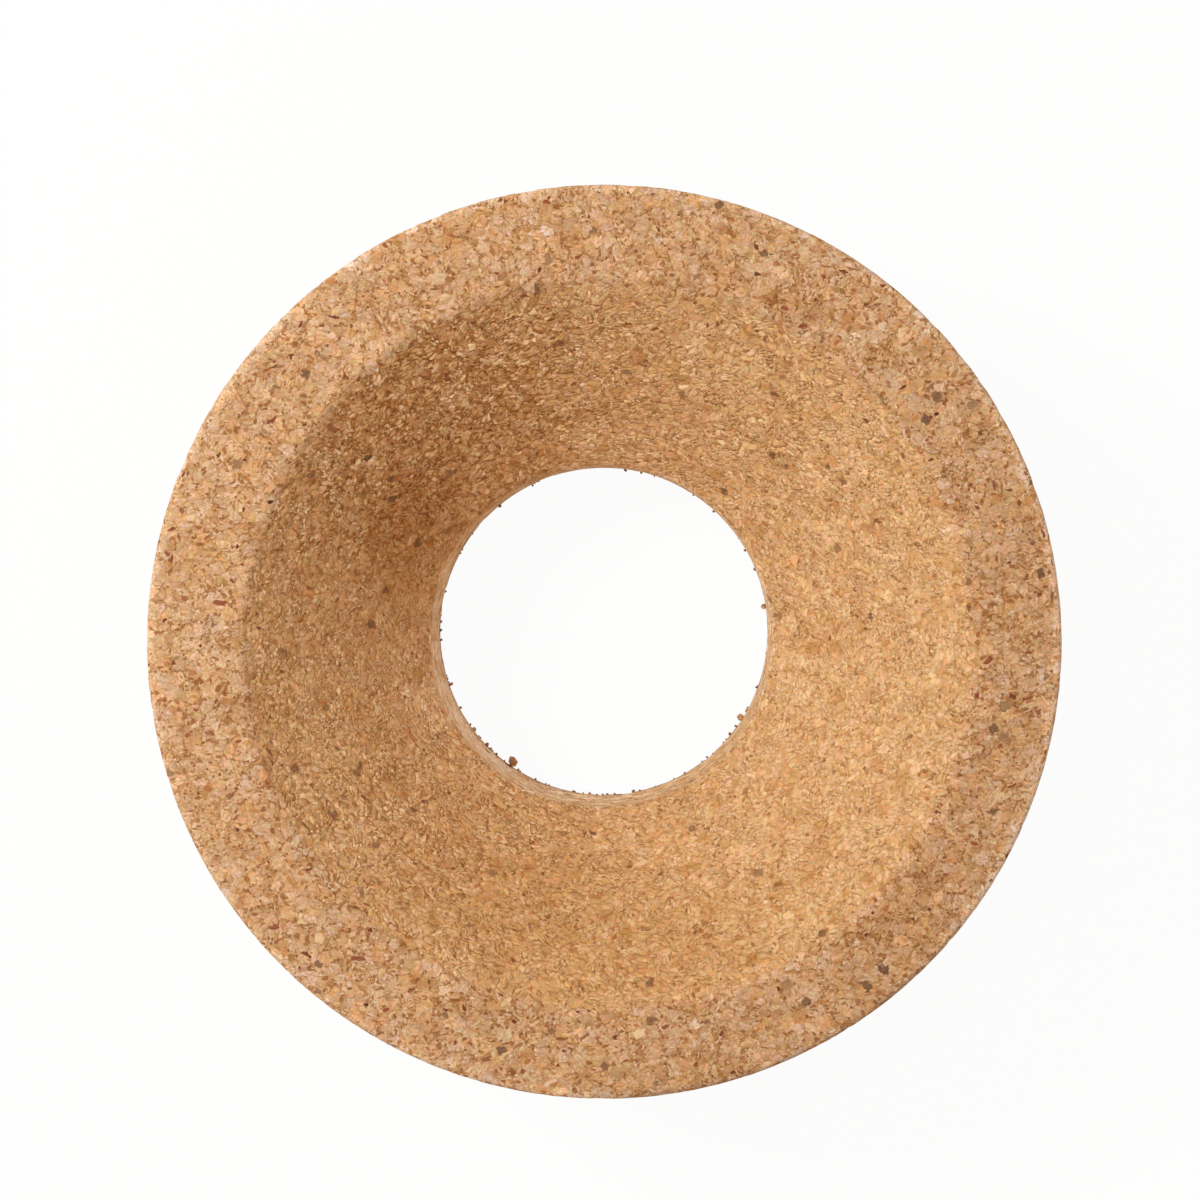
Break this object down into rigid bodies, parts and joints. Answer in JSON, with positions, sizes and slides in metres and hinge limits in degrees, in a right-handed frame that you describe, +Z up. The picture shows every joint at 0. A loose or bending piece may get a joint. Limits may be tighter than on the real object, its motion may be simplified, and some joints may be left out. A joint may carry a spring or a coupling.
{
  "type": "cork ring",
  "caption": "Round cork stand with a flat rim, a cone-shaped dish that seats a round-bottomed flask, and a straight hole through the foot.",
  "frame": {"origin": "middle of the foot, on the surface that the ring stands on", "axes": "+Z up along the ring's own axis, out of the dish; X and Y lie in the foot and may be turned freely"},
  "size_m": [0.08, 0.08, 0.03],
  "materials": {
    "cork": "agglomerated cork, dry and matt, grains of about 1 mm"
  },
  "bodies": {
    "root": {"cork_ring": "cork"}
  },
  "joints": []
}
